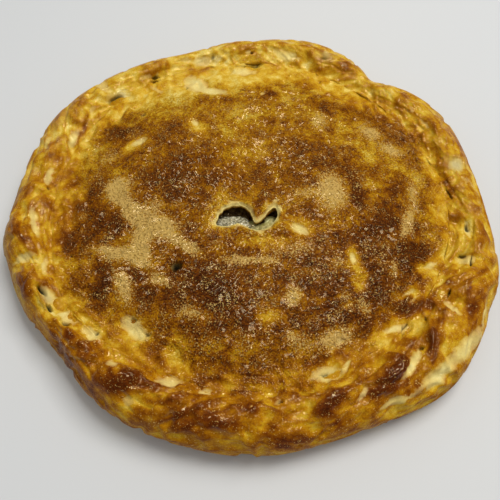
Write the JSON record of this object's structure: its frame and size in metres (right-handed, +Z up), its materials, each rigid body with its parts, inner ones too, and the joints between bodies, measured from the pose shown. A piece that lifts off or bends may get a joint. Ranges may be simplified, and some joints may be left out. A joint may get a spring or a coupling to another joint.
{
  "type": "round layered meat pie",
  "caption": "Whole round covered pie with a thick folded rim, a domed browned lid with a torn steam vent, and a meat, potato and onion filling.",
  "frame": {"origin": "middle of the footprint's box, on the surface that the pie stands on", "axes": "+Z up; the steam vent lies towards -Y, the side nearest the camera"},
  "size_m": [0.3014, 0.2992, 0.04],
  "materials": {
    "rim_crust": "golden baked dough with an egg-wash sheen, pale in its creases",
    "lid_crust": "deep brown baked dough with fine blisters and tan matte patches",
    "filling": "moist cooked meat, potato and onion"
  },
  "bodies": {
    "root": {"bottom_crust": "rim_crust", "lid_crust": "lid_crust", "filling": "filling"}
  },
  "joints": []
}
